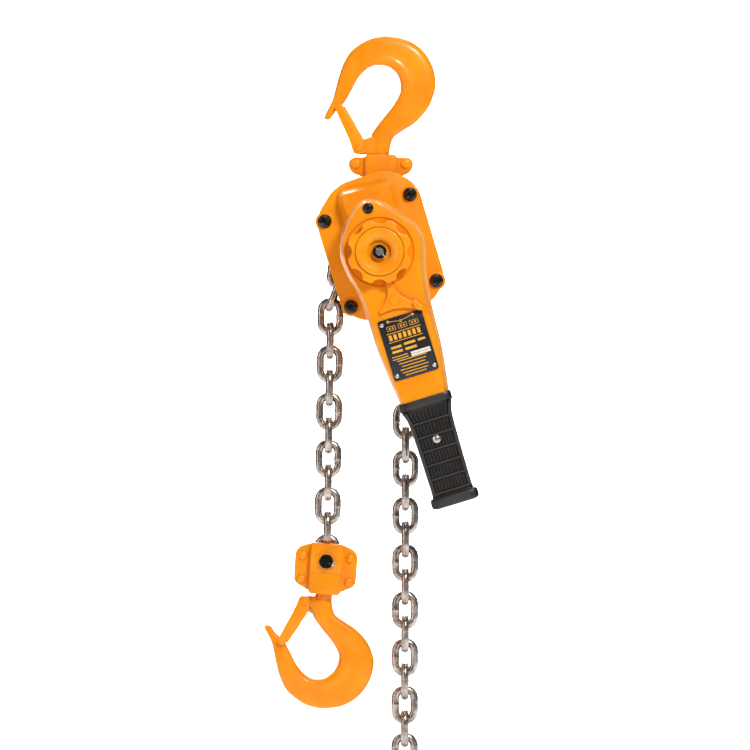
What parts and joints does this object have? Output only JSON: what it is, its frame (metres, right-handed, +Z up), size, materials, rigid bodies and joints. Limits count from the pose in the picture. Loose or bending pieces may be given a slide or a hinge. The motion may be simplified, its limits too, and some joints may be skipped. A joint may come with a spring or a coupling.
{
  "type": "lever chain hoist",
  "caption": "Hand lever chain hoist with a latched top hook, ratchet lever with grip, load chain with yoke and latched bottom hook, and slack chain with a stopper ring.",
  "frame": {"origin": "the point inside the crown of the top hook that bears on whatever holds the hoist", "axes": "+Z up along the hanging hoist, -Y towards the side that carries the lever, +X to the right of somebody facing the lever; the chain lies in y = 0"},
  "size_m": [0.2375, 0.175, 0.8771],
  "materials": {
    "yellow_enamel": "gloss enamel",
    "chain_steel": "plated, satin",
    "black_steel": "black oxide",
    "bright_steel": "zinc plated",
    "brake_lining": "matt moulded lining",
    "grip_rubber": "moulded, ribbed",
    "label_print": "printed plate",
    "black_plastic": "gloss moulded"
  },
  "bodies": {
    "top_hook": {"top_hook": "yellow_enamel", "top_latch_pin": "bright_steel"},
    "top_latch": {"top_latch": "yellow_enamel"},
    "top_yoke": {"top_yoke_front": "yellow_enamel", "top_yoke_rear": "yellow_enamel", "top_yoke_rivet_1": "yellow_enamel", "top_yoke_rivet_2": "yellow_enamel"},
    "hoist_body": {"front_side_plate": "yellow_enamel", "rear_side_plate": "yellow_enamel", "suspension_pin": "bright_steel", "stay_bolt_1": "black_steel", "stay_bolt_2": "black_steel", "stay_bolt_3": "black_steel", "stay_bolt_4": "black_steel", "stay_nut_1": "black_steel", "stay_nut_2": "black_steel", "stay_nut_3": "black_steel", "stay_nut_4": "black_steel", "brake_cover": "yellow_enamel", "gear_cover": "yellow_enamel", "bearing_front": "bright_steel", "bearing_rear": "bright_steel", "chain_guide": "bright_steel"},
    "load_sheave": {"load_sheave": "chain_steel", "load_gear": "bright_steel", "sheave_chain": "chain_steel"},
    "intermediate_gear_1": {"intermediate_gear_1": "bright_steel"},
    "intermediate_gear_2": {"intermediate_gear_2": "bright_steel"},
    "drive_shaft": {"drive_shaft": "bright_steel", "disc_hub": "black_steel", "friction_disc_inner": "brake_lining", "friction_disc_outer": "brake_lining", "change_gear": "black_steel", "shaft_nut": "black_steel"},
    "ratchet_disc": {"ratchet_disc": "bright_steel"},
    "pawl_1": {"pawl_1": "black_steel"},
    "pawl_2": {"pawl_2": "black_steel"},
    "free_wheel_knob": {"free_wheel_knob": "yellow_enamel"},
    "lever": {"lever_front_shell": "yellow_enamel", "lever_rear_shell": "yellow_enamel", "grip": "grip_rubber", "grip_screw": "bright_steel", "name_plate": "label_print", "lever_plug": "black_plastic"},
    "selector": {"selector_lever": "yellow_enamel", "change_pawl": "black_steel"},
    "load_strand": {"load_chain_upper": "chain_steel"},
    "load_strand_lower": {"load_chain_lower": "chain_steel"},
    "bottom_yoke": {"bottom_yoke_front": "yellow_enamel", "bottom_yoke_rear": "yellow_enamel", "chain_pin": "black_steel", "chain_pin_nut": "black_steel"},
    "bottom_hook": {"bottom_hook": "yellow_enamel", "bottom_latch_pin": "bright_steel"},
    "bottom_latch": {"bottom_latch": "yellow_enamel"},
    "slack_strand": {"slack_chain_upper": "chain_steel"},
    "slack_strand_lower": {"slack_chain_lower": "chain_steel"},
    "chain_end_ring": {"chain_end_ring": "chain_steel"}
  },
  "joints": [
    {"name": "top_latch_hinge", "type": "hinge", "parent": "top_hook", "child": "top_latch", "pos_m": [-0.0229, 0, -0.0929], "axis": [0, 1, 0], "range_deg": [0, 40], "stiffness_Nm_per_rad": 0.06, "springref_deg": -57.3},
    {"name": "top_hook_swivel", "type": "hinge", "parent": "top_hook", "child": "top_yoke", "pos_m": [0.0015, 0, -0.11], "axis": [0, 0, 1], "continuous": true},
    {"name": "body_swing", "type": "hinge", "parent": "top_yoke", "child": "hoist_body", "pos_m": [0.0015, 0, -0.13], "axis": [0, 1, 0], "range_deg": [-24, 24]},
    {"name": "lever_turn", "type": "hinge", "parent": "hoist_body", "child": "lever", "pos_m": [0, 0, -0.21], "axis": [0, 1, 0], "continuous": true},
    {"name": "selector_turn", "type": "hinge", "parent": "lever", "child": "selector", "pos_m": [0.01634, 0, -0.26346], "axis": [0, 1, 0], "range_deg": [-20, 20]},
    {"name": "load_lift", "type": "slide", "parent": "hoist_body", "child": "load_strand", "axis": [0, 0, 1], "range_m": [-0.0066, 0.0066]},
    {"name": "load_sheave_turn", "type": "hinge", "parent": "hoist_body", "child": "load_sheave", "pos_m": [0, 0, -0.21], "axis": [0, 1, 0], "range_deg": [-9.5, 9.5]},
    {"name": "intermediate_gear_1_turn", "type": "hinge", "parent": "hoist_body", "child": "intermediate_gear_1", "pos_m": [-0.00936, 0, -0.1794], "axis": [0, 1, 0], "range_deg": [-28, 28]},
    {"name": "intermediate_gear_2_turn", "type": "hinge", "parent": "hoist_body", "child": "intermediate_gear_2", "pos_m": [0.00936, 0, -0.2406], "axis": [0, 1, 0], "range_deg": [-28, 28]},
    {"name": "drive_shaft_turn", "type": "hinge", "parent": "hoist_body", "child": "drive_shaft", "pos_m": [0, 0, -0.21], "axis": [0, 1, 0], "range_deg": [-83, 83]},
    {"name": "ratchet_disc_turn", "type": "hinge", "parent": "hoist_body", "child": "ratchet_disc", "pos_m": [0, 0, -0.21], "axis": [0, 1, 0], "range_deg": [-83, 83]},
    {"name": "pawl_1_lift", "type": "hinge", "parent": "hoist_body", "child": "pawl_1", "pos_m": [0.00213, 0, -0.16909], "axis": [0, 1, 0], "range_deg": [0, 10], "stiffness_Nm_per_rad": 0.03, "springref_deg": -28.65},
    {"name": "pawl_2_lift", "type": "hinge", "parent": "hoist_body", "child": "pawl_2", "pos_m": [-0.00213, 0, -0.25091], "axis": [0, 1, 0], "range_deg": [0, 10], "stiffness_Nm_per_rad": 0.03, "springref_deg": -28.65},
    {"name": "free_wheel_pull", "type": "slide", "parent": "drive_shaft", "child": "free_wheel_knob", "axis": [0, -1, 0], "range_m": [0, 0.008], "stiffness_N_per_m": 400, "springref_m": -0.02},
    {"name": "load_strand_bend", "type": "hinge", "parent": "load_strand", "child": "load_strand_lower", "pos_m": [-0.05609, 0, -0.3687], "axis": [1, 0, 0], "range_deg": [-25, 25]},
    {"name": "bottom_yoke_swing", "type": "hinge", "parent": "load_strand_lower", "child": "bottom_yoke", "pos_m": [-0.0593, 0, -0.5536], "axis": [0, 1, 0], "range_deg": [-3, 15]},
    {"name": "bottom_hook_swivel", "type": "hinge", "parent": "bottom_yoke", "child": "bottom_hook", "pos_m": [-0.0593, 0, -0.5536], "axis": [0.075, 0, 0.9972], "continuous": true},
    {"name": "bottom_latch_hinge", "type": "hinge", "parent": "bottom_hook", "child": "bottom_latch", "pos_m": [-0.08366, 0, -0.5988], "axis": [0, -1, 0], "range_deg": [0, 40], "stiffness_Nm_per_rad": 0.06, "springref_deg": -57.3},
    {"name": "slack_run", "type": "slide", "parent": "hoist_body", "child": "slack_strand", "axis": [0, 0, 1], "range_m": [-0.0066, 0.0066]},
    {"name": "slack_strand_bend", "type": "hinge", "parent": "slack_strand", "child": "slack_strand_lower", "pos_m": [0.0289, 0, -0.5205], "axis": [1, 0, 0], "range_deg": [-25, 25]},
    {"name": "end_ring_swing", "type": "hinge", "parent": "slack_strand_lower", "child": "chain_end_ring", "pos_m": [0.02791, 0, -0.8109], "axis": [0, 1, 0], "range_deg": [-60, 60]}
  ],
  "couplings": [
    {"joint": "load_sheave_turn", "follows": "load_lift", "rad_per_m": 23.8},
    {"joint": "intermediate_gear_1_turn", "follows": "load_lift", "rad_per_m": -71.4},
    {"joint": "intermediate_gear_2_turn", "follows": "load_lift", "rad_per_m": -71.4},
    {"joint": "drive_shaft_turn", "follows": "load_lift", "rad_per_m": 214.2},
    {"joint": "ratchet_disc_turn", "follows": "load_lift", "rad_per_m": 214.2},
    {"joint": "slack_run", "follows": "load_lift", "ratio": -1}
  ]
}
